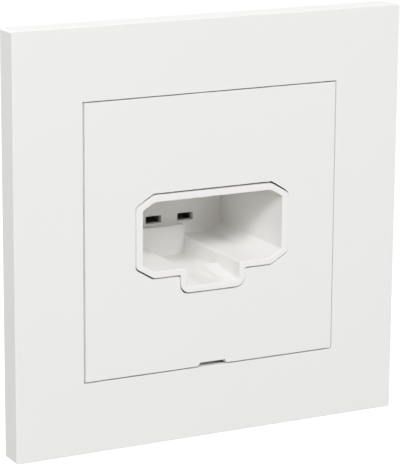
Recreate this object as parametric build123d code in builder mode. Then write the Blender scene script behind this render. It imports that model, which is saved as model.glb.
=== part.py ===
from build123d import *
import os
from math import hypot

# Flush wall outlet for a luminaire plug. Millimetres. The wall's surface is the plane y = 0,
# the outlet's front faces -Y, +Z is up, and the origin is the middle of the wall box.

os.makedirs("parts", exist_ok=True)

# ---------------------------------------------------------------- driving dimensions
# cover frame
frame_size = 85.0
frame_front = -5.55
frame_side_wall = 1.8
frame_face_wall = 1.9
frame_edge_radius = 0.22
frame_corner_radius = 0.45
opening = 56.08
opening_z = -0.04
opening_edge_radius = 0.07
rim_wall = 1.5
rim_back = -1.25
frame_pocket = 72.0

# centre plate
plate_size = 55.36
plate_front = -5.75
plate_wall = 1.8
plate_edge_radius = 0.08
skirt_outer = 53.8
skirt_wall = 1.2
skirt_back = -2.0
notch_width = 5.75
notch_height = 0.74
notch_x = 0.25
notch_depth = 2.4
leg_x = 25.8
leg_z = 14.0
leg_width = 6.0
leg_wall = 1.2

# socket insert: its middle, as seated in the cut-out, and the outline of the ring
insert_x = 0.2
ring_front = -5.9
ring_half_w = 16.96
ring_half_h = 8.3
ring_cut_x = 3.85
ring_cut_z = 2.3
ring_key_half = 7.14
ring_key_z = -12.08
ring_edge_radius = 0.1
# gap between the ring and the cut-out, which sits a trace above and to the left of the ring
cutout_x = 0.14
cutout_z = 0.065
gap_side = 0.12
gap_upright = 0.395
# the cut-out's lip is thin, and behind it the collar stands back
lip_wall = 0.8
lip_relief = 0.8
# socket insert: outline of the cavity
cavity_half_w = 15.55
cavity_half_h = 7.0
cavity_cut_x = 2.6
cavity_cut_z = 1.55
key_half = 5.97
key_z = -10.85
cavity_back = 20.5
key_back = 18.5
end_top = -4.6
insert_back = 21.8
mouth_radius = 0.15
# latch ramps on the floor of the key channel
ramp_width = 3.2
ramp_front = -4.9
ramp_top = 3.9
ramp_rise = 1.3
# contact slots
slot_pitch = 7.4
slot_z = -3.4
slot_w = 3.65
slot_h = 1.65
# flange
flange_half_w = 24.0
flange_half_h = 8.0
flange_wall = 1.2
fix_x = 20.8

# mounting plate
steel = 1.0
steel_size = 71.0
steel_corner = 9.0
box_spacing = 60.0
box_slot_r = 1.8
box_slot_length = 6.0

# clips that hold the cover frame
clip_x = 29.75
clip_z = 12.0
clip_wall = 0.5
clip_length = 8.0

# terminal block
block_half_w = 24.0
block_bottom = -15.0
block_top = 22.0
block_depth = 31.0
block_wall = 1.6
well_gap = 0.2
well_depth = 22.0
pole_x = 11.0
terminal_z = 15.4

# rear cover
cover_wall = 2.0
cover_screws = [(-20.4, -9.6), (20.4, -9.6), (-20.4, 12.6), (20.4, 12.6)]

poles = [("line", -1), ("earth", 0), ("neutral", 1)]


def facing(y):
    """The plane at depth y that faces the viewer: local x is X, local y is Z, outwards is -Y."""
    return Plane.XZ.offset(-y)


def keyed(half_w, half_h, cut_x, cut_z, key_w, key_bottom, corner, key_corner, grow=(0.0, 0.0), middle=insert_x, lift=0.0):
    """Eight-sided outline with a key below it, made as a face of the sketch in hand."""
    w, h = half_w + grow[0], half_h + grow[1]
    kw, kz = key_w + grow[0], key_bottom - grow[1]
    in_x, in_z = half_w - cut_x + grow[0] * 0.6, half_h - cut_z + grow[1] * 0.8
    right = [(in_x, h), (w, in_z), (w, -in_z), (in_x, -h), (kw, -h), (kw, kz)]
    left = [(middle - x, z + lift) for x, z in reversed(right)]
    right = [(middle + x, z + lift) for x, z in right]
    radii = [corner] * 4 + [0.5, key_corner]
    with BuildLine() as edge:
        FilletPolyline(*right, *left, radius=radii + radii[::-1], close=True)
    make_face(edge.edges())


def ribbon(points, thick):
    """Closed outline of a strip of the given thickness along the middle line of the points."""
    sides = [[], []]
    for i, (x, y) in enumerate(points):
        before = points[max(i - 1, 0)]
        after = points[min(i + 1, len(points) - 1)]
        d1 = (x - before[0], y - before[1]) if i else (after[0] - x, after[1] - y)
        d2 = (after[0] - x, after[1] - y) if i < len(points) - 1 else d1
        l1, l2 = hypot(*d1), hypot(*d2)
        n1 = (-d1[1] / l1, d1[0] / l1)
        n2 = (-d2[1] / l2, d2[0] / l2)
        m = (n1[0] + n2[0], n1[1] + n2[1])
        k = thick / (m[0] * n1[0] + m[1] * n1[1]) / 2
        sides[0].append((x + m[0] * k, y + m[1] * k))
        sides[1].append((x - m[0] * k, y - m[1] * k))
    return sides[0] + sides[1][::-1]


def outline(points):
    """Face with straight sides through the points, in the sketch in hand."""
    with BuildLine() as edge:
        Polyline(*points, close=True)
    make_face(edge.edges())


# ---------------------------------------------------------------- cover frame
with BuildPart() as cover_frame:
    with BuildSketch(facing(0)):
        RectangleRounded(frame_size, frame_size, frame_corner_radius)
        with Locations((0, opening_z)):
            Rectangle(opening, opening, mode=Mode.SUBTRACT)
    extrude(amount=-frame_front)
    # hollow behind the face, between the outer walls and the rim of the opening
    with BuildSketch(facing(0)):
        Rectangle(frame_size - 2 * frame_side_wall, frame_size - 2 * frame_side_wall)
        Rectangle(opening + 2 * rim_wall, opening + 2 * rim_wall, mode=Mode.SUBTRACT)
    extrude(amount=-frame_front - frame_face_wall, mode=Mode.SUBTRACT)
    # the rim stops in front of the mounting plate
    with BuildSketch(facing(0)):
        Rectangle(frame_pocket, frame_pocket)
    extrude(amount=-rim_back, mode=Mode.SUBTRACT)
    # stiffening ribs between the rim and the outer walls
    rib_from, rib_to = opening / 2 + rim_wall - 0.2, frame_size / 2 - frame_side_wall + 0.2
    rib_mid, rib_len = (rib_from + rib_to) / 2, rib_to - rib_from
    with BuildSketch(facing(rib_back := -1.6)):
        for s in (-1, 1):
            with Locations((s * rib_mid, 22), (s * rib_mid, -22)):
                Rectangle(rib_len, 1.0)
            with Locations((22, s * rib_mid), (0, s * rib_mid), (-22, s * rib_mid)):
                Rectangle(1.0, rib_len)
    extrude(amount=rib_back - frame_front - frame_face_wall + 0.2)
    # catches on the outside of the rim for the four clips
    for s in (-1, 1):
        with BuildSketch(facing(-2.45)):
            with Locations((s * (opening / 2 + rim_wall + 0.15), clip_z), (s * (opening / 2 + rim_wall + 0.15), -clip_z)):
                Rectangle(0.5, 3.2)
        extrude(amount=0.9)
    outer = cover_frame.faces().sort_by(Axis.Y)[0].outer_wire().edges()
    fillet(outer, radius=frame_edge_radius)
    inner = cover_frame.faces().sort_by(Axis.Y)[0].inner_wires()[0].edges()
    fillet(inner, radius=opening_edge_radius)
cover_frame.part.label = "cover_frame"
export_step(cover_frame.part, "parts/cover_frame.step")

# ---------------------------------------------------------------- centre plate
plate_inner = plate_front + plate_wall
with BuildPart() as centre_plate:
    with BuildSketch(facing(plate_inner)):
        Rectangle(plate_size, plate_size)
    extrude(amount=plate_wall)
    fillet(centre_plate.faces().sort_by(Axis.Y)[0].outer_wire().edges(), radius=plate_edge_radius)
    # skirt behind the edge
    with BuildSketch(facing(skirt_back)):
        Rectangle(skirt_outer, skirt_outer)
        Rectangle(skirt_outer - 2 * skirt_wall, skirt_outer - 2 * skirt_wall, mode=Mode.SUBTRACT)
    extrude(amount=skirt_back - plate_inner + 0.2)
    # low collar round the cut-out, clear of the insert's screws
    with BuildSketch(facing(-3.65)):
        keyed(ring_half_w, ring_half_h, ring_cut_x, ring_cut_z, ring_key_half, ring_key_z, 1.6, 2.8,
              grow=(gap_side + lip_relief + 0.8, gap_upright + lip_relief + 0.8), middle=cutout_x, lift=cutout_z)
    extrude(amount=-3.65 - plate_inner + 0.2)
    # stiffening ribs from the collar to the skirt, clear of the flange and its screws
    with BuildSketch(facing(-2.9)):
        with Locations((-8, 18.2), (8, 18.2), (-12, -17.8), (12, -17.8)):
            Rectangle(1.0, 16.8)
    extrude(amount=-2.9 - plate_inner + 0.2)
    # cut-out for the insert
    with BuildSketch(facing(0)):
        keyed(ring_half_w, ring_half_h, ring_cut_x, ring_cut_z, ring_key_half, ring_key_z, 1.0, 2.0,
              grow=(gap_side, gap_upright), middle=cutout_x, lift=cutout_z)
    extrude(amount=8, mode=Mode.SUBTRACT)
    # relief behind the lip, all round the ring
    with BuildSketch(facing(0)):
        keyed(ring_half_w, ring_half_h, ring_cut_x, ring_cut_z, ring_key_half, ring_key_z, 1.3, 2.4,
              grow=(gap_side + lip_relief, gap_upright + lip_relief), middle=cutout_x, lift=cutout_z)
    extrude(amount=-plate_front - lip_wall, mode=Mode.SUBTRACT)
    # prying notch in the lower edge, open to the front and downwards
    with BuildSketch(facing(plate_front + notch_depth)):
        with BuildLine():
            z0 = -plate_size / 2
            FilletPolyline(
                (notch_x - notch_width / 2 - 0.5, z0 - 0.6),
                (notch_x - notch_width / 2 - 0.35, z0),
                (notch_x - notch_width / 2, z0 + notch_height),
                (notch_x + notch_width / 2, z0 + notch_height),
                (notch_x + notch_width / 2 + 0.35, z0),
                (notch_x + notch_width / 2 + 0.5, z0 - 0.6),
                radius=[0, 0.25, 0.25, 0, 0, 0],
                close=True,
            )
        make_face()
    extrude(amount=3, mode=Mode.SUBTRACT)
    # the skirt is open behind the notch
    with BuildSketch(facing(0)):
        with Locations((notch_x, -skirt_outer / 2)):
            Rectangle(notch_width + 0.6, 2 * skirt_wall + 0.6)
    extrude(amount=-plate_inner, mode=Mode.SUBTRACT)
    # four snap legs, each with a nose behind the mounting plate
    for s in (-1, 1):
        nose = [
            (s * (leg_x - leg_wall / 2), plate_inner - 0.2),
            (s * (leg_x - leg_wall / 2), 1.9),
            (s * (leg_x + leg_wall / 2 - 0.3), 1.9),
            (s * (leg_x + leg_wall / 2 + 0.65), 0.75),
            (s * (leg_x + leg_wall / 2 + 0.65), 0.15),
            (s * (leg_x + leg_wall / 2), 0.15),
            (s * (leg_x + leg_wall / 2), plate_inner - 0.2),
        ]
        for z in (-leg_z, leg_z):
            with BuildSketch(Plane.XY.offset(z)):
                outline(nose)
            extrude(amount=leg_width / 2, both=True)
centre_plate.part.label = "centre_plate"
export_step(centre_plate.part, "parts/centre_plate.step")

# ---------------------------------------------------------------- socket insert
with BuildPart() as socket_insert:
    with BuildSketch(facing(insert_back)):
        keyed(ring_half_w, ring_half_h, ring_cut_x, ring_cut_z, ring_key_half, ring_key_z, 1.0, 2.0)
    extrude(amount=insert_back - ring_front)
    fillet(socket_insert.faces().sort_by(Axis.Y)[0].outer_wire().edges(), radius=ring_edge_radius)
    # fixing flange, clamped on the front of the mounting plate
    with BuildSketch(facing(-steel)):
        RectangleRounded(2 * flange_half_w, 2 * flange_half_h, 2.5)
    extrude(amount=flange_wall)
    # cavity, and the key channel that ends just in front of its back wall
    with BuildSketch(facing(cavity_back)):
        keyed(cavity_half_w, cavity_half_h, cavity_cut_x, cavity_cut_z, key_half, key_z, 0.35, 0.5)
        with Locations((insert_x, -cavity_half_h - 5)):
            Rectangle(2 * key_half + 4, 10, mode=Mode.SUBTRACT)
    extrude(amount=cavity_back - ring_front, mode=Mode.SUBTRACT)
    with BuildSketch(facing(key_back)):
        keyed(cavity_half_w, cavity_half_h, cavity_cut_x, cavity_cut_z, key_half, key_z, 0.35, 0.5)
    extrude(amount=key_back - ring_front, mode=Mode.SUBTRACT)
    mouth = socket_insert.faces().sort_by(Axis.Y)[0].inner_wires()[0].edges()
    fillet(mouth, radius=mouth_radius)
    # two latch ramps on the channel's floor, against its side walls
    for s in (-1, 1):
        with BuildSketch(Plane.YZ.offset(insert_x + s * (key_half - ramp_width / 2 + 0.1))):
            outline([
                (ramp_front, key_z - 0.2),
                (ramp_front, key_z + 0.05),
                (ramp_top, key_z + ramp_rise),
                (ramp_top + 0.5, key_z + ramp_rise),
                (ramp_top + 0.9, key_z - 0.2),
            ])
        extrude(amount=ramp_width / 2 + 0.1, both=True)
    # the channel's end wall stands up above the cavity's floor, as high as the slots' lower edge
    with BuildSketch(facing(cavity_back + 0.3)):
        with Locations((insert_x, (end_top - cavity_half_h - 0.3) / 2)):
            Rectangle(2 * key_half, end_top + cavity_half_h + 0.3)
    extrude(amount=cavity_back + 0.3 - key_back)
    # contact slots
    with BuildSketch(facing(insert_back)):
        with GridLocations(slot_pitch, 1, 3, 1):
            with Locations((0, slot_z)):
                Rectangle(slot_w, slot_h)
    extrude(amount=insert_back - cavity_back + 1, mode=Mode.SUBTRACT)
    # screw holes in the flange
    with BuildSketch(facing(0)):
        with Locations((-fix_x, 0), (fix_x, 0)):
            Circle(1.65)
    extrude(amount=4, mode=Mode.SUBTRACT)
    # two locating ribs on each side of the body behind the flange
    for s in (-1, 1):
        with BuildSketch(facing(18)):
            with Locations((insert_x + s * ring_half_w, 3.2), (insert_x + s * ring_half_w, -3.2)):
                Rectangle(0.3, 1.0)
        extrude(amount=17)
socket_insert.part.label = "socket_insert"
export_step(socket_insert.part, "parts/socket_insert.step")

# ---------------------------------------------------------------- mounting plate
with BuildPart() as mounting_plate:
    with BuildSketch(facing(0)) as steel_blank:
        Rectangle(steel_size, steel_size)
        chamfer(steel_blank.vertices(), length=steel_corner)
        fillet(steel_blank.vertices(), radius=1.0)
        # opening for the insert and for the terminal screws
        with BuildLine():
            FilletPolyline(
                (-18.6, 20.0), (18.6, 20.0), (18.6, -9.4), (8.2, -9.4), (8.2, -13.2),
                (-8.2, -13.2), (-8.2, -9.4), (-18.6, -9.4),
                radius=[2.5, 2.5, 2.0, 0.6, 1.5, 1.5, 0.6, 2.0], close=True,
            )
        make_face(mode=Mode.SUBTRACT)
        # screw slots for the wall box, at the sides and at the top and bottom
        with Locations((-box_spacing / 2, 0), (box_spacing / 2, 0)):
            SlotOverall(box_slot_length, 2 * box_slot_r, mode=Mode.SUBTRACT)
        with Locations((0, -box_spacing / 2), (0, box_spacing / 2)):
            SlotOverall(box_slot_length, 2 * box_slot_r, rotation=90, mode=Mode.SUBTRACT)
        # windows for the snap legs
        with GridLocations(2 * (leg_x + 0.05), 2 * leg_z, 2, 2):
            Rectangle(1.9, leg_width + 0.6, mode=Mode.SUBTRACT)
        # holes for the insert's screws
        with Locations((-fix_x, 0), (fix_x, 0)):
            Circle(1.8, mode=Mode.SUBTRACT)
    extrude(amount=steel)
    # rivet holes, countersunk from behind
    rivet_places = [(sx * 32.3, sz * clip_z) for sx in (-1, 1) for sz in (-1, 1)] + [(0, 23.6)]
    with BuildSketch(facing(0)):
        with Locations(*rivet_places):
            Circle(1.0)
    extrude(amount=steel, mode=Mode.SUBTRACT)
    for x, z in rivet_places:
        with BuildSketch(Plane.XZ.offset(0)):
            with Locations((x, z)):
                Circle(1.5)
        extrude(amount=0.5, taper=45, mode=Mode.SUBTRACT)
mounting_plate.part.label = "mounting_plate"
export_step(mounting_plate.part, "parts/mounting_plate.step")

# ---------------------------------------------------------------- clips for the cover frame
with BuildPart() as frame_clips:
    for s in (-1, 1):
        for z in (-clip_z, clip_z):
            # angle: foot on the plate, leg standing towards the front
            with BuildSketch(Plane.XY.offset(z)):
                with BuildLine():
                    FilletPolyline(
                        (s * 34.4, -steel), (s * clip_x, -steel), (s * clip_x, -3.55),
                        (s * (clip_x + clip_wall), -3.55), (s * (clip_x + clip_wall), -steel - clip_wall),
                        (s * 34.4, -steel - clip_wall),
                        radius=[0, 0.8, 0.15, 0.15, 0.3, 0], close=True,
                    )
                make_face()
            extrude(amount=clip_length / 2, both=True)
            # window that the frame's catch snaps into
            with BuildSketch(Plane.XY.offset(z)):
                with Locations((s * (clip_x + clip_wall / 2), -2.85)):
                    Rectangle(2.0, 1.1)
            extrude(amount=2.0, both=True, mode=Mode.SUBTRACT)
    with BuildSketch(facing(0)):
        with Locations(*rivet_places[:4]):
            Circle(1.0)
    extrude(amount=3, mode=Mode.SUBTRACT)
frame_clips.part.label = "frame_clips"
export_step(frame_clips.part, "parts/frame_clips.step")

# ---------------------------------------------------------------- rivets, four for the clips and one for the earth strap
with BuildPart() as plate_rivets:
    for i, (x, z) in enumerate(rivet_places):
        seat = -steel - (clip_wall if i < 4 else 0.6)
        with BuildSketch(facing(0)):
            with Locations((x, z)):
                Circle(1.0)
        extrude(amount=-seat)
        with BuildSketch(facing(0)):
            with Locations((x, z)):
                Circle(1.5)
        extrude(amount=0.5, taper=45)
        with BuildSketch(facing(seat)):
            with Locations((x, z)):
                Circle(1.6)
        extrude(amount=0.45, taper=35)
plate_rivets.part.label = "plate_rivets"
export_step(plate_rivets.part, "parts/plate_rivets.step")

# ---------------------------------------------------------------- terminal block
block_corners = [
    (-block_half_w + 6, block_top), (block_half_w - 6, block_top), (block_half_w, block_top - 6),
    (block_half_w, block_bottom + 4), (block_half_w - 4, block_bottom), (-block_half_w + 4, block_bottom),
    (-block_half_w, block_bottom + 4), (-block_half_w, block_top - 6),
]
with BuildPart() as terminal_block:
    with BuildSketch(facing(block_depth)):
        with BuildLine():
            FilletPolyline(*block_corners, radius=1.2, close=True)
        make_face()
    extrude(amount=block_depth)
    # well for the body of the insert
    with BuildSketch(facing(well_depth)):
        keyed(ring_half_w, ring_half_h, ring_cut_x, ring_cut_z, ring_key_half, ring_key_z, 0.8, 1.8,
              grow=(well_gap, well_gap))
    extrude(amount=well_depth, mode=Mode.SUBTRACT)
    # contact chambers behind the well, open to the back
    with BuildSketch(facing(block_depth)):
        with GridLocations(slot_pitch, 1, 3, 1):
            with Locations((0, -0.5)):
                Rectangle(5.5, 13.0)
    extrude(amount=block_depth - well_depth + 1, mode=Mode.SUBTRACT)
    # terminal chambers above the well, open to the back
    with BuildSketch(facing(block_depth)):
        for s in (-1, 0, 1):
            with Locations((s * pole_x, 15.3)):
                Rectangle(8.6, 9.6)
    extrude(amount=block_depth - block_wall, mode=Mode.SUBTRACT)
    # the contact strips pass from one to the other along the back
    with BuildSketch(facing(block_depth)):
        with Locations((0, 8.5)):
            Rectangle(5.5, 6.0)
        for s in (-1, 1):
            with Locations((s * 9.0, 8.5)):
                Rectangle(8.6, 6.0)
    extrude(amount=3.2, mode=Mode.SUBTRACT)
    # front openings for the screw heads
    with BuildSketch(facing(block_wall + 0.5)):
        with Locations((-pole_x, terminal_z), (0, terminal_z), (pole_x, terminal_z)):
            Circle(3.6)
    extrude(amount=3, mode=Mode.SUBTRACT)
    # slit for the earth strap above the middle one
    with BuildSketch(facing(block_wall + 0.5)):
        with Locations((0, 19.2)):
            Rectangle(3.0, 1.6)
    extrude(amount=3, mode=Mode.SUBTRACT)
    # wire entries in the top, two to a pole, with a funnel
    for s in (-1, 0, 1):
        for dx in (-2.4, 2.4):
            with BuildSketch(Plane.XY.offset(block_top + 0.5)):
                with Locations((s * pole_x + dx, 7.5)):
                    Circle(1.55)
            extrude(amount=-3.0, mode=Mode.SUBTRACT)
    funnels = terminal_block.edges().filter_by(GeomType.CIRCLE).filter_by(
        lambda e: abs(e.center().Z - block_top) < 0.01 and abs(e.radius - 1.55) < 0.01
    )
    chamfer(funnels, length=0.35)
    # holes for the insert's screws and the cover's screws
    with BuildSketch(facing(12.0)):
        with Locations((-fix_x, 0), (fix_x, 0)):
            Circle(1.3)
    extrude(amount=14, mode=Mode.SUBTRACT)
    with BuildSketch(facing(block_depth)):
        with Locations(*cover_screws):
            Circle(1.1)
    extrude(amount=9, mode=Mode.SUBTRACT)
    # material saved at the sides and below the chambers
    with BuildSketch(facing(block_depth)):
        with Locations((-20.4, 1.5), (20.4, 1.5)):
            RectangleRounded(4.0, 13.0, 1.2)
    extrude(amount=15, mode=Mode.SUBTRACT)
    with BuildSketch(facing(block_depth)):
        with Locations((-10.0, -10.9), (10.0, -10.9)):
            RectangleRounded(13.0, 4.4, 1.2)
    extrude(amount=8.0, mode=Mode.SUBTRACT)
    # two shallow grooves along each flank
    for s in (-1, 1):
        with BuildSketch(facing(27)):
            with Locations((s * block_half_w, 8.0), (s * block_half_w, -4.0)):
                Rectangle(1.0, 3.0)
        extrude(amount=22, mode=Mode.SUBTRACT)
terminal_block.part.label = "terminal_block"
export_step(terminal_block.part, "parts/terminal_block.step")

# ---------------------------------------------------------------- rear cover
with BuildPart() as rear_cover:
    with BuildSketch(facing(block_depth + cover_wall)):
        with BuildLine():
            FilletPolyline(*block_corners, radius=1.2, close=True)
        make_face()
    extrude(amount=cover_wall)
    fillet(rear_cover.faces().sort_by(Axis.Y)[-1].outer_wire().edges(), radius=0.5)
    # raised back over the contact and terminal chambers
    with BuildSketch(facing(block_depth + cover_wall + 0.8)):
        with BuildLine():
            FilletPolyline(
                (-15.4, 19.6), (15.4, 19.6), (15.4, 5.6), (11.0, 1.6), (11.0, -6.6), (-11.0, -6.6),
                (-11.0, 1.6), (-15.4, 5.6), radius=1.4, close=True,
            )
        make_face()
    extrude(amount=1.2)
    fillet(rear_cover.faces().sort_by(Axis.Y)[-1].outer_wire().edges(), radius=0.4)
    # three shallow fields in the raised back
    with BuildSketch(facing(block_depth + cover_wall + 0.8)):
        with Locations((-10.2, 12.6), (0, 12.6), (10.2, 12.6)):
            RectangleRounded(7.6, 10.0, 1.0)
    extrude(amount=0.5, mode=Mode.SUBTRACT)
    # ribs inside that hold the contacts' back plates down
    with BuildSketch(facing(block_depth)):
        with GridLocations(slot_pitch, 1, 3, 1):
            with Locations((0, slot_z - 2.4)):
                Rectangle(3.0, 1.0)
    extrude(amount=0.15)
    # screw holes, counterbored
    with BuildSketch(facing(block_depth + cover_wall)):
        with Locations(*cover_screws):
            Circle(1.35)
    extrude(amount=cover_wall, mode=Mode.SUBTRACT)
    with BuildSketch(facing(block_depth + cover_wall)):
        with Locations(*cover_screws):
            Circle(2.4)
    extrude(amount=1.1, mode=Mode.SUBTRACT)
rear_cover.part.label = "rear_cover"
export_step(rear_cover.part, "parts/rear_cover.step")

# ---------------------------------------------------------------- contacts
strip = 0.6
back_y = 30.4
top_z = 11.3
face_y = 9.3
for name, s in poles:
    slot_x, term_x = s * slot_pitch, s * pole_x
    with BuildPart() as contact:
        # two spring leaves that grip the blade from above and below
        for side in (-1, 1):
            leaf = [
                (22.15, slot_z + side * 1.55), (24.6, slot_z + side * 0.75), (26.5, slot_z + side * 0.95),
                (back_y, slot_z + side * 1.7),
            ]
            with BuildSketch(Plane.YZ.offset(slot_x)):
                outline(ribbon(leaf, 0.4))
            extrude(amount=1.8, both=True)
        # back plate, stepped sideways to the terminal
        with BuildSketch(facing(back_y + strip / 2)):
            if s:
                outline([
                    (slot_x - s * 2.2, slot_z - 2.2), (slot_x + s * 2.2, slot_z - 2.2), (slot_x + s * 2.2, 6.2),
                    (term_x + s * 1.7, 7.6), (term_x + s * 1.7, top_z + strip / 2),
                    (term_x - s * 2.7, top_z + strip / 2), (term_x - s * 2.7, 8.2), (slot_x - s * 2.2, 7.4),
                ])
            else:
                with Locations((0, (slot_z - 2.2 + top_z + strip / 2) / 2)):
                    Rectangle(4.4, top_z + strip / 2 - slot_z + 2.2)
        extrude(amount=strip)
        # arm forward over the insert, and the upright end that the wires are clamped on
        with BuildSketch(Plane.YZ.offset(term_x)):
            outline(ribbon([(back_y, top_z), (face_y, top_z), (face_y, 19.4)], strip))
        extrude(amount=1.7 if s else 2.2, both=True)
        with BuildSketch(facing(face_y + strip / 2)):
            with Locations((term_x, terminal_z + 0.3)):
                Rectangle(7.4, 7.4)
        extrude(amount=strip)
        with BuildSketch(facing(face_y + 1)):
            with Locations((term_x, terminal_z)):
                Circle(2.0)
        extrude(amount=2, mode=Mode.SUBTRACT)
    contact.part.label = name + "_contact"
    export_step(contact.part, "parts/" + name + "_contact.step")

# ---------------------------------------------------------------- steel springs round the contact leaves
with BuildPart() as contact_springs:
    for s in (-1, 0, 1):
        x = s * slot_pitch
        with BuildSketch(facing(25.4)):
            outline(ribbon([
                (x - 1.7, slot_z + 1.42), (x + 2.2, slot_z + 1.42), (x + 2.2, slot_z - 1.42), (x - 1.7, slot_z - 1.42),
            ], 0.3))
        extrude(amount=1.6)
contact_springs.part.label = "contact_springs"
export_step(contact_springs.part, "parts/contact_springs.step")

# ---------------------------------------------------------------- tapped terminal blocks
for name, s in poles:
    with BuildPart() as terminal:
        with BuildSketch(facing(face_y + strip / 2 + 3.4)):
            with Locations((s * pole_x, terminal_z)):
                Rectangle(7.2, 7.2)
        extrude(amount=3.4)
        chamfer(terminal.edges().filter_by(Axis.Y), length=0.6)
        with BuildSketch(facing(20)):
            with Locations((s * pole_x, terminal_z)):
                Circle(1.8)
        extrude(amount=20, mode=Mode.SUBTRACT)
        chamfer(terminal.edges().filter_by(GeomType.CIRCLE).sort_by(Axis.Y)[-1], length=0.4)
    terminal.part.label = name + "_terminal"
    export_step(terminal.part, "parts/" + name + "_terminal.step")

# ---------------------------------------------------------------- pressure plates on the terminal screws
with BuildPart() as pressure_plates:
    for s in (-1, 0, 1):
        # square washer with its two side edges turned back over the wires
        with BuildSketch(Plane.XY.offset(terminal_z)):
            outline([
                (s * pole_x - 3.7, 6.7), (s * pole_x - 3.7, 5.0), (s * pole_x + 3.7, 5.0), (s * pole_x + 3.7, 6.7),
                (s * pole_x + 2.9, 6.7), (s * pole_x + 2.9, 5.9), (s * pole_x - 2.9, 5.9), (s * pole_x - 2.9, 6.7),
            ])
        extrude(amount=3.4, both=True)
    with BuildSketch(facing(8)):
        with Locations((-pole_x, terminal_z), (0, terminal_z), (pole_x, terminal_z)):
            Circle(1.95)
    extrude(amount=4, mode=Mode.SUBTRACT)
    chamfer(pressure_plates.edges().filter_by(Axis.Y).filter_by(
        lambda e: e.length > 1.5), length=0.5)
pressure_plates.part.label = "pressure_plates"
export_step(pressure_plates.part, "parts/pressure_plates.step")

# ---------------------------------------------------------------- terminal screws
with BuildPart() as terminal_screws:
    for s in (-1, 0, 1):
        with BuildSketch(facing(14.2)):
            with Locations((s * pole_x, terminal_z)):
                Circle(1.75)
        extrude(amount=9.4)
        with BuildSketch(facing(5.0)):
            with Locations((s * pole_x, terminal_z)):
                Circle(3.1)
        extrude(amount=1.9)
    heads = terminal_screws.edges().filter_by(GeomType.CIRCLE).filter_by(lambda e: abs(e.center().Y - 3.1) < 0.01)
    fillet(heads, radius=0.5)
    tips = terminal_screws.edges().filter_by(GeomType.CIRCLE).filter_by(lambda e: abs(e.center().Y - 14.2) < 0.01)
    chamfer(tips, length=0.5)
    # straight slot with a shallower cross
    with BuildSketch(facing(4.2)):
        with Locations((-pole_x, terminal_z), (0, terminal_z), (pole_x, terminal_z)):
            Rectangle(0.9, 7.0)
    extrude(amount=3, mode=Mode.SUBTRACT)
    with BuildSketch(facing(4.0)):
        with Locations((-pole_x, terminal_z), (0, terminal_z), (pole_x, terminal_z)):
            Rectangle(3.4, 0.9)
    extrude(amount=3, mode=Mode.SUBTRACT)
terminal_screws.part.label = "terminal_screws"
export_step(terminal_screws.part, "parts/terminal_screws.step")

# ---------------------------------------------------------------- earth strap
with BuildPart() as earth_strap:
    # foot on the mounting plate, bend at the edge of its opening, run back and down to the terminal
    with BuildSketch(Plane.YZ):
        outline(ribbon([(-1.3, 25.0), (-1.3, 19.35), (8.7, 19.35), (8.7, 17.2)], 0.6))
    extrude(amount=1.2, both=True)
    with BuildSketch(facing(-1.0)):
        with Locations((0, 23.6)):
            RectangleRounded(5.6, 5.4, 1.2)
    extrude(amount=0.6)
    with BuildSketch(facing(9.0)):
        with Locations((0, terminal_z)):
            Circle(3.4)
    extrude(amount=0.6)
    with BuildSketch(facing(9.5)):
        with Locations((0, terminal_z)):
            Circle(2.0)
    extrude(amount=2, mode=Mode.SUBTRACT)
    with BuildSketch(facing(0)):
        with Locations((0, 23.6)):
            Circle(1.0)
    extrude(amount=3, mode=Mode.SUBTRACT)
earth_strap.part.label = "earth_strap"
export_step(earth_strap.part, "parts/earth_strap.step")

# ---------------------------------------------------------------- screws through the insert's flange
flange_front = -steel - flange_wall
with BuildPart() as insert_screws:
    for s in (-1, 1):
        with BuildSketch(facing(10.5)):
            with Locations((s * fix_x, 0)):
                Circle(1.25)
        extrude(amount=10.5 - flange_front)
        with BuildSketch(facing(flange_front)):
            with Locations((s * fix_x, 0)):
                Circle(2.7)
        extrude(amount=1.3)
    heads = insert_screws.edges().filter_by(GeomType.CIRCLE).filter_by(
        lambda e: abs(e.center().Y - (flange_front - 1.3)) < 0.01)
    fillet(heads, radius=0.5)
    tips = insert_screws.edges().filter_by(GeomType.CIRCLE).filter_by(lambda e: abs(e.center().Y - 10.5) < 0.01)
    chamfer(tips, length=0.9)
    for w, h in ((0.7, 3.0), (3.0, 0.7)):
        with BuildSketch(facing(flange_front - 0.3)):
            with Locations((-fix_x, 0), (fix_x, 0)):
                Rectangle(w, h)
        extrude(amount=3, mode=Mode.SUBTRACT)
insert_screws.part.label = "insert_screws"
export_step(insert_screws.part, "parts/insert_screws.step")

# ---------------------------------------------------------------- screws of the rear cover
seat = block_depth + cover_wall - 1.1
with BuildPart() as rear_cover_screws:
    with BuildSketch(facing(24.0).rotated((180, 0, 0))):
        with Locations(*[(x, -z) for x, z in cover_screws]):
            Circle(1.05)
    extrude(amount=seat - 24.0)
    with BuildSketch(facing(seat).rotated((180, 0, 0))):
        with Locations(*[(x, -z) for x, z in cover_screws]):
            Circle(2.15)
    extrude(amount=1.2)
    heads = rear_cover_screws.edges().filter_by(GeomType.CIRCLE).filter_by(
        lambda e: abs(e.center().Y - (seat + 1.2)) < 0.01)
    fillet(heads, radius=0.4)
    tips = rear_cover_screws.edges().filter_by(GeomType.CIRCLE).filter_by(lambda e: abs(e.center().Y - 24.0) < 0.01)
    chamfer(tips, length=0.6)
    for w, h in ((0.6, 2.4), (2.4, 0.6)):
        with BuildSketch(facing(seat + 0.5).rotated((180, 0, 0))):
            with Locations(*[(x, -z) for x, z in cover_screws]):
                Rectangle(w, h)
        extrude(amount=2, mode=Mode.SUBTRACT)
rear_cover_screws.part.label = "rear_cover_screws"
export_step(rear_cover_screws.part, "parts/rear_cover_screws.step")
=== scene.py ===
import math

import bpy
from mathutils import Matrix, Vector

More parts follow.
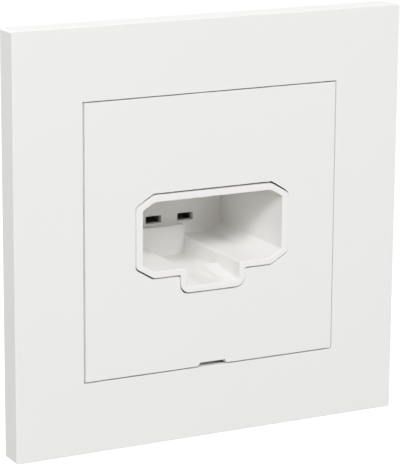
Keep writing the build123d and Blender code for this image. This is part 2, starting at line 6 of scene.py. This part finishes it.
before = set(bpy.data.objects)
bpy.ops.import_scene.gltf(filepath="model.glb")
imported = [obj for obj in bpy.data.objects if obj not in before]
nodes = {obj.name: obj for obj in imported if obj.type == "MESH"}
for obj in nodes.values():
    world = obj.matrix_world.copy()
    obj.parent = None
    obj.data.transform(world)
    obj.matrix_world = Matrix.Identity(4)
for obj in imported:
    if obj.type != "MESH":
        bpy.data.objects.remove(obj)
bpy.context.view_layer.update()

scene = bpy.context.scene
scene.view_settings.view_transform = "Standard"
scene.view_settings.look = "None"
# The camera's tone curve: nearly straight in the shadows, with a soft shoulder in the whites.
SHOULDER = 2.0
scene.view_settings.use_curve_mapping = True
mapping = scene.view_settings.curve_mapping
tone_curve = mapping.curves[3]
for i in range(1, 10):
    tone_curve.points.new(i / 10, 0.5)
for point in tone_curve.points:
    x = point.location[0]
    point.location = (x, (1 - math.exp(-SHOULDER * x)) / (1 - math.exp(-SHOULDER)))
mapping.update()

# ------------------------------------------------------------------ camera
# The frame is 400 x 465, so the sensor's 36 mm lie along its height.
RIGHT = Vector((0.88721862, -0.4613063, 0.00629431))
DOWN = Vector((-0.10318108, -0.21170628, -0.97187145))
AHEAD = Vector((0.44966296, 0.861613, -0.23542783))
cam_data = bpy.data.cameras.new("camera")
cam_data.sensor_width = 36.0
cam_data.sensor_fit = "AUTO"
cam_data.lens = 36.0 * 2409.05 / 465.0
cam_data.clip_start = 0.01
cam_data.clip_end = 50.0
cam = bpy.data.objects.new("camera", cam_data)
scene.collection.objects.link(cam)
turn = Matrix((RIGHT, -DOWN, -AHEAD)).transposed().to_4x4()
cam.matrix_world = Matrix.Translation((-0.21675, -0.415775, 0.11192)) @ turn
scene.camera = cam


# ------------------------------------------------------------------ materials
class Mat:
    """A node material: a Principled shader, with the nodes that feed it added by name."""

    def __init__(self, name, **fixed):
        self.mat = bpy.data.materials.new(name)
        self.mat.use_nodes = True
        self.t = self.mat.node_tree
        self.p = self.t.nodes["Principled BSDF"]
        for k, v in fixed.items():
            self.p.inputs[k.replace("_", " ")].default_value = v

    def node(self, kind, **values):
        n = self.t.nodes.new(kind)
        for k, v in values.items():
            if k in n.inputs:
                n.inputs[k].default_value = v
            else:
                setattr(n, k, v)
        return n

    def link(self, a, out, b, into):
        self.t.links.new(a.outputs[out], b.inputs[into])
        return b

    def coords(self, scale=(1, 1, 1)):
        c = self.node("ShaderNodeTexCoord")
        m = self.node("ShaderNodeMapping")
        m.inputs["Scale"].default_value = scale
        self.link(c, "Object", m, "Vector")
        return m

    def noise(self, co, scale, detail=2.0, rough=0.5):
        n = self.node("ShaderNodeTexNoise", Scale=scale, Detail=detail, Roughness=rough)
        self.link(co, "Vector", n, "Vector")
        return n

    def ramp(self, source, out, stops):
        r = self.node("ShaderNodeValToRGB")
        e = r.color_ramp.elements
        while len(e) < len(stops):
            e.new(0.5)
        for el, (pos, col) in zip(e, stops):
            el.position = pos
            el.color = col if len(col) == 4 else (*col, 1)
        self.link(source, out, r, "Fac")
        return r

    def span(self, source, out, lo, hi, a=0.0, b=1.0):
        r = self.node("ShaderNodeMapRange")
        r.inputs["From Min"].default_value = a
        r.inputs["From Max"].default_value = b
        r.inputs["To Min"].default_value = lo
        r.inputs["To Max"].default_value = hi
        self.link(source, out, r, "Value")
        return r

    def bump(self, source, out, distance, strength=1.0, under=None):
        b = self.node("ShaderNodeBump", Distance=distance, Strength=strength)
        self.link(source, out, b, "Height")
        if under is not None:
            self.link(under, "Normal", b, "Normal")
        return b

    def done(self, normal=None):
        if normal is not None:
            self.link(normal, "Normal", self.p, "Normal")
        return self.mat


def moulded(name, light, dark, rough, scale=420.0, depth=0.0000015, ior=1.5):
    """Injection-moulded plastic: a trace of flow in its tone, and a fine skin."""
    m = Mat(name, IOR=ior)
    co = m.coords()
    flow = m.noise(co, 38.0, 3.0)
    tone = m.ramp(flow, "Fac", [(0.3, dark), (0.7, light)])
    m.link(tone, "Color", m.p, "Base Color")
    skin = m.noise(co, 900.0, 3.0, 0.6)
    r = m.span(skin, "Fac", rough - 0.04, rough + 0.04, 0.3, 0.7)
    m.link(r, "Result", m.p, "Roughness")
    return m.done(m.bump(m.noise(co, scale, 2.0), "Fac", depth))


def speckled(name, light, dark, fleck, rough):
    """Filled moulding: a matt ground with sparse short flecks of the filler in it."""
    m = Mat(name, IOR=1.5)
    co = m.coords()
    ground = m.ramp(m.noise(co, 60.0, 3.0), "Fac", [(0.3, dark), (0.7, light)])
    grains = m.node("ShaderNodeTexVoronoi", Scale=1500.0)
    m.link(m.coords((1.0, 0.35, 1.0)), "Vector", grains, "Vector")
    where = m.ramp(grains, "Distance", [(0.08, (1, 1, 1)), (0.2, (0, 0, 0))])
    mix = m.node("ShaderNodeMix", data_type="RGBA")
    m.link(where, "Color", mix, "Factor")
    m.t.links.new(ground.outputs["Color"], mix.inputs[6])
    mix.inputs[7].default_value = (*fleck, 1)
    m.t.links.new(mix.outputs[2], m.p.inputs["Base Color"])
    skin = m.noise(co, 1300.0, 3.0, 0.6)
    m.link(m.span(skin, "Fac", rough - 0.06, rough + 0.06, 0.3, 0.7), "Result", m.p, "Roughness")
    return m.done(m.bump(skin, "Fac", 0.000003))


def metal(name, light, dark, rough, stretch=(1, 1, 1), depth=0.0000008):
    """Bare or plated metal: uneven tone, and fine marks drawn out along one axis."""
    m = Mat(name, Metallic=1.0)
    co = m.coords(stretch)
    fog = m.noise(co, 160.0, 4.0, 0.6)
    tone = m.ramp(fog, "Fac", [(0.3, dark), (0.7, light)])
    m.link(tone, "Color", m.p, "Base Color")
    fine = m.noise(co, 1400.0, 3.0, 0.6)
    m.link(m.span(fine, "Fac", rough - 0.08, rough + 0.1, 0.3, 0.7), "Result", m.p, "Roughness")
    return m.done(m.bump(fine, "Fac", depth))


white_frame = moulded("white_frame", (0.842, 0.841, 0.824), (0.832, 0.831, 0.814), 0.36)
white_plate = moulded("white_plate", (0.842, 0.841, 0.824), (0.832, 0.831, 0.814), 0.36)
white_insert = moulded("white_insert", (0.880, 0.866, 0.840), (0.870, 0.856, 0.830), 0.34)
housing = speckled("housing_plastic", (0.60, 0.60, 0.575), (0.56, 0.56, 0.535), (0.47, 0.47, 0.45), 0.5)
zinc = metal("zinc_steel", (0.80, 0.81, 0.83), (0.66, 0.67, 0.69), 0.3)
spring = metal("spring_steel", (0.62, 0.62, 0.63), (0.5, 0.5, 0.51), 0.28, (1, 1, 8))
screw = metal("screw_steel", (0.82, 0.82, 0.82), (0.7, 0.7, 0.7), 0.25)
brass = metal("brass", (0.86, 0.66, 0.33), (0.72, 0.52, 0.24), 0.3, (6, 1, 1))
tinned = metal("tinned_contact", (0.66, 0.65, 0.62), (0.52, 0.51, 0.48), 0.38, (6, 1, 1))

FINISH = {
    "cover_frame": white_frame, "centre_plate": white_plate, "socket_insert": white_insert,
    "mounting_plate": zinc, "frame_clips": spring, "plate_rivets": zinc,
    "terminal_block": housing, "rear_cover": housing,
    "line_contact": tinned, "earth_contact": tinned, "neutral_contact": tinned,
    "line_terminal": brass, "earth_terminal": brass, "neutral_terminal": brass,
    "contact_springs": spring, "pressure_plates": zinc, "terminal_screws": screw,
    "earth_strap": brass, "insert_screws": screw, "rear_cover_screws": screw,
}
for name, mat in FINISH.items():
    data = nodes[name].data
    data.materials.clear()
    data.materials.append(mat)

# ------------------------------------------------------------------ floor and light
FLOOR_GLOW = 0.9
floor_mesh = bpy.data.meshes.new("floor")
s = 6.0
floor_mesh.from_pydata([(-s, -s, -0.3), (s, -s, -0.3), (s, s, -0.3), (-s, s, -0.3)], [], [(0, 1, 2, 3)])
floor = bpy.data.objects.new("floor", floor_mesh)
scene.collection.objects.link(floor)
pale = Mat("floor_paint", Roughness=0.9)
co = pale.coords()
pale.link(pale.ramp(pale.noise(co, 2.0), "Fac", [(0.2, (0.955, 0.955, 0.955)), (0.8, (0.975, 0.975, 0.975))]), "Color", pale.p, "Base Color")
pale.p.inputs["Emission Color"].default_value = (1, 1, 1, 1)
pale.p.inputs["Emission Strength"].default_value = FLOOR_GLOW
floor_mesh.materials.append(pale.done())
floor.visible_diffuse = False
floor.visible_glossy = False

SKY = 0.1
LIGHTS = {
    # name: (azimuth, elevation, distance, size, watts)
    "key": (-20.0, 38.0, 1.25, 0.235, 5.0),
    "key_high": (-15.0, 46.0, 1.25, 0.195, 3.7),
    "side": (-35.0, 30.0, 1.6, 0.6, 5.1),
    "right": (15.0, 25.0, 1.6, 0.4, 3.3),
    "left": (-60.0, 25.0, 1.6, 0.5, 1.3),
    "left_behind": (-100.0, 40.0, 1.4, 0.5, 3.3),
    "top_behind": (180.0, 55.0, 1.6, 0.8, 11.4),
    "right_behind": (105.0, 15.0, 1.6, 0.6, 5.0),
    "back": (-150.0, 20.0, 1.6, 0.6, 5.0),
}
world = bpy.data.worlds.new("studio")
world.use_nodes = True
world.node_tree.nodes["Background"].inputs["Color"].default_value = (1, 1, 1, 1)
world.node_tree.nodes["Background"].inputs["Strength"].default_value = SKY
scene.world = world
for name, (az, el, dist, size, watts) in LIGHTS.items():
    a, e = math.radians(az), math.radians(el)
    at = Vector((math.sin(a) * math.cos(e), -math.cos(a) * math.cos(e), math.sin(e))) * dist
    data = bpy.data.lights.new(name, "AREA")
    data.shape = "DISK"
    data.size = size
    data.energy = watts
    lamp = bpy.data.objects.new(name, data)
    scene.collection.objects.link(lamp)
    lamp.matrix_world = Matrix.Translation(at) @ at.to_track_quat("Z", "Y").to_matrix().to_4x4()
